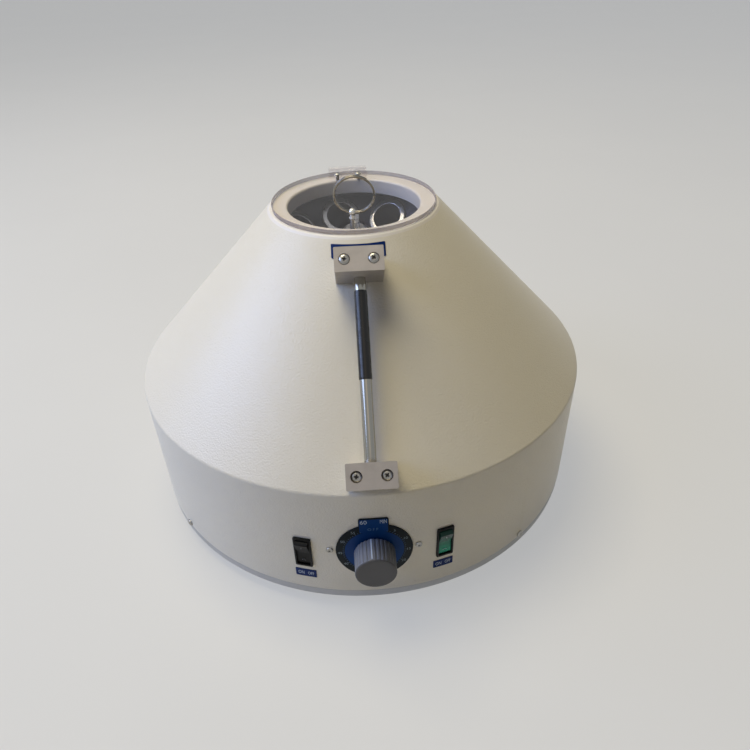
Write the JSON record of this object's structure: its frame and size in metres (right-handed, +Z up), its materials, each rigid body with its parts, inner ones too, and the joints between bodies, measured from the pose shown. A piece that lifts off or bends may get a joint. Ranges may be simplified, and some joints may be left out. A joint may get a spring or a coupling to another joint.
{
  "type": "milk fat centrifuge",
  "caption": "Bench centrifuge for milk fat tubes: conical housing with a hinged clear lid, angled tube sleeves on a spinning rotor, carrying handles, timer knob and rocker switches.",
  "frame": {"origin": "on the bench under the middle of the round body, level with the bottoms of the feet", "axes": "+Z up, the rotor's axis; -Y towards the front with the dial and the front handle; +X to the right seen from the front"},
  "size_m": [0.4, 0.4419, 0.3063],
  "materials": {
    "cream_paint": "semi gloss stoved paint with light orange peel",
    "base_paint": "satin paint",
    "clear_lid": "clear polished sheet with a darker edge",
    "block_metal": "brushed, broken edges",
    "bright_chrome": "polished",
    "black_sleeve": "glossy",
    "zinc": "bright zinc plated",
    "stainless": "satin",
    "ring_wire": "nickel plated spring wire",
    "rubber_black": "moulded, matt",
    "switch_black": "satin moulded",
    "rocker_black": "satin moulded",
    "rocker_green": "translucent moulded, lit look",
    "knob_grey": "satin moulded",
    "dial_blue": "printed sheet, semi gloss",
    "motor_paint": "painted casting",
    "galvanised": "galvanised sheet",
    "rotor_metal": "turned, lightly anodised",
    "sleeve_metal": "drawn tube, bright lip",
    "brass_pin": "nickelled contact"
  },
  "bodies": {
    "housing": {"base_plate": "base_paint", "rubber_feet": "rubber_black", "foot_screws": "zinc", "housing_skirt": "cream_paint", "housing_cone": "cream_paint", "mouth_ring": "cream_paint", "shell_screws": "zinc", "chamber_floor": "galvanised", "floor_posts": "zinc", "hinge_leaf_body": "stainless", "hinge_pin": "stainless", "hinge_body_screws": "zinc", "front_handle_lower_block": "block_metal", "front_handle_upper_block": "block_metal", "front_handle_rod": "bright_chrome", "front_handle_grip": "black_sleeve", "front_handle_screws": "zinc", "rear_handle_lower_block": "block_metal", "rear_handle_upper_block": "block_metal", "rear_handle_rod": "bright_chrome", "rear_handle_grip": "black_sleeve", "rear_handle_screws": "zinc", "dial_plate": "dial_blue", "timer_body": "switch_black", "timer_screws": "zinc", "black_switch_body": "switch_black", "green_switch_body": "switch_black", "mains_inlet": "switch_black", "inlet_pins": "brass_pin", "inlet_screws": "zinc", "fuse_holder": "switch_black", "motor_mounts": "rubber_black", "motor_housing": "motor_paint", "motor_bearings": "stainless", "shaft_seal": "rubber_black"},
    "lid": {"lid_disc": "clear_lid", "hinge_leaf_lid": "stainless", "hinge_lid_screws": "zinc", "ring_post": "bright_chrome"},
    "ring": {"pull_ring": "ring_wire"},
    "rotor": {"motor_shaft": "stainless", "rotor_hub": "rotor_metal", "rotor_bowl": "rotor_metal", "rotor_lower_disc": "rotor_metal", "rotor_nut": "stainless", "rotor_bolts": "zinc", "tube_sleeve_1": "sleeve_metal", "tube_sleeve_2": "sleeve_metal", "tube_sleeve_3": "sleeve_metal", "tube_sleeve_4": "sleeve_metal", "tube_sleeve_5": "sleeve_metal", "tube_sleeve_6": "sleeve_metal", "tube_sleeve_7": "sleeve_metal", "tube_sleeve_8": "sleeve_metal", "sleeve_cushions": "rubber_black"},
    "knob": {"timer_spindle": "stainless", "timer_knob": "knob_grey"},
    "black_rocker_body": {"black_rocker": "rocker_black"},
    "green_rocker_body": {"green_rocker": "rocker_green"}
  },
  "joints": [
    {"name": "lid_hinge", "type": "hinge", "parent": "housing", "child": "lid", "pos_m": [-0.0035, 0.0718, 0.2713], "axis": [-1, 0, 0], "range_deg": [0, 172]},
    {"name": "ring_swing", "type": "hinge", "parent": "lid", "child": "ring", "pos_m": [-0.0024, -0.0444, 0.2757], "axis": [0.9903, 0, -0.1392], "range_deg": [-103, 77]},
    {"name": "rotor_spin", "type": "hinge", "parent": "housing", "child": "rotor", "pos_m": [0, 0, 0.15], "axis": [0, 0, 1], "continuous": true},
    {"name": "timer_turn", "type": "hinge", "parent": "housing", "child": "knob", "pos_m": [0, -0.212, 0.0695], "axis": [0, 1, 0], "range_deg": [0, 300]},
    {"name": "black_rocker_tilt", "type": "hinge", "parent": "housing", "child": "black_rocker_body", "pos_m": [-0.05381, -0.18889, 0.0642], "axis": [-0.9617, 0.274, 0], "range_deg": [0, 18]},
    {"name": "green_rocker_tilt", "type": "hinge", "parent": "housing", "child": "green_rocker_body", "pos_m": [0.05381, -0.18889, 0.0657], "axis": [-0.9617, -0.274, 0], "range_deg": [0, 18]}
  ]
}
